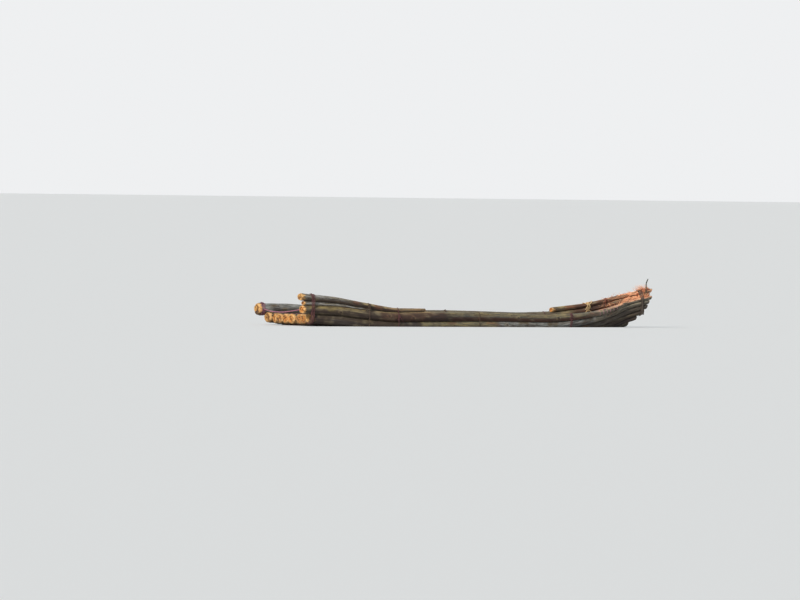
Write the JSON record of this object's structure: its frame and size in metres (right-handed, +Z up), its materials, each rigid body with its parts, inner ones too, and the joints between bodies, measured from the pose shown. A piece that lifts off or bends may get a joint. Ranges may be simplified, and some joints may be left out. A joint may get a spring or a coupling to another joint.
{
  "type": "reed boat",
  "caption": "Small open boat of light pithy stems lashed side by side, with a square open stern and stems gathered into a high closed bow.",
  "frame": {"origin": "on the ground below the middle of the boat's length and beam, where the lowest floor lashing touches", "axes": "+X to the bow, +Y to port, +Z up"},
  "size_m": [2.61, 0.6437, 0.3857],
  "materials": {
    "bark_strap": "strips of inner bark, dark maroon, matt and fibrous",
    "peeled_stick": "thin dark green brown stick with its bark on",
    "pithy_stem": "thin ridged bark, olive brown where dry and grey brown where wet, with peach coloured corky pith at the cut ends",
    "twisted_cord": "faded pink and purple twisted cord, matt"
  },
  "bodies": {
    "root": {"bow_lashing": "bark_strap", "bow_rail_stem": "pithy_stem", "floor_lashing_aft": "bark_strap", "floor_lashing_fore": "bark_strap", "floor_lashing_mid": "bark_strap", "floor_lashing_stern": "bark_strap", "floor_stem_port_1": "pithy_stem", "floor_stem_port_2": "pithy_stem", "floor_stem_port_3": "pithy_stem", "floor_stem_port_4": "pithy_stem", "floor_stem_starboard_1": "pithy_stem", "floor_stem_starboard_2": "pithy_stem", "floor_stem_starboard_3": "pithy_stem", "floor_stem_starboard_4": "pithy_stem", "gunwale_stem_port": "pithy_stem", "gunwale_stem_starboard": "pithy_stem", "keel_stem": "pithy_stem", "packing_stem": "pithy_stem", "port_lashing_aft": "bark_strap", "port_lashing_fore": "bark_strap", "port_lashing_mid": "bark_strap", "port_lashing_quarter": "bark_strap", "port_lashing_stern": "bark_strap", "quarter_stem": "pithy_stem", "rail_lashing_aft": "bark_strap", "rail_lashing_fore": "bark_strap", "starboard_lashing_aft": "bark_strap", "starboard_lashing_fore": "bark_strap", "starboard_lashing_mid": "bark_strap", "starboard_lashing_quarter": "bark_strap", "starboard_lashing_stern": "bark_strap", "stern_cord": "twisted_cord", "tie_stick": "peeled_stick"}
  },
  "joints": []
}
